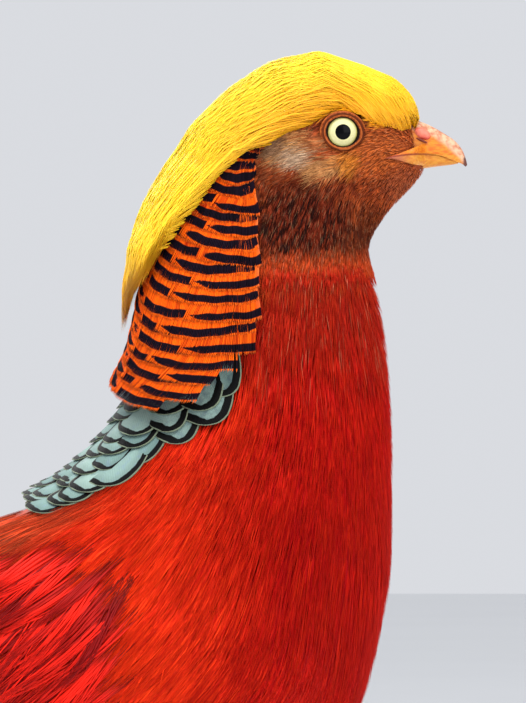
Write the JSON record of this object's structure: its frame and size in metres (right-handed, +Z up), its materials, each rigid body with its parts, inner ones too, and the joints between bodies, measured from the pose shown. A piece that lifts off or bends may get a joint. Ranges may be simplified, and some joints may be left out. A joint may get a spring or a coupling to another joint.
{
  "type": "golden pheasant",
  "caption": "Life-size adult cock golden pheasant standing alert, with a yellow crest, barred orange cape, scarlet breast and long drooping tail.",
  "frame": {"origin": "on the floor plane, under the middle of the bird's length and width", "axes": "+X the way the bird faces, along its length from tail to bill; +Y to its left; +Z up"},
  "size_m": [0.928, 0.1314, 0.3711],
  "materials": {
    "horn": "satin",
    "face_skin": "matte",
    "eye": "gloss",
    "body_skin": "matte",
    "crest_plumage": "satin",
    "cape_plumage": "satin",
    "mantle_plumage": "satin",
    "rump_plumage": "satin",
    "wing_plumage": "satin",
    "tail_plumage": "satin",
    "covert_plumage": "satin",
    "leg_scale": "satin"
  },
  "bodies": {
    "root": {"bill_upper": "horn", "bill_lower": "horn", "head": "face_skin", "eye_right": "eye", "eye_left": "eye", "neck": "body_skin", "torso": "body_skin", "crest": "crest_plumage", "cape": "cape_plumage", "mantle": "mantle_plumage", "rump": "rump_plumage", "wing_right": "wing_plumage", "wing_left": "wing_plumage", "tail": "tail_plumage", "tail_coverts": "covert_plumage", "thigh_right": "body_skin", "thigh_left": "body_skin", "shank_right": "leg_scale", "shank_left": "leg_scale", "foot_right": "leg_scale", "foot_left": "leg_scale"}
  },
  "joints": []
}
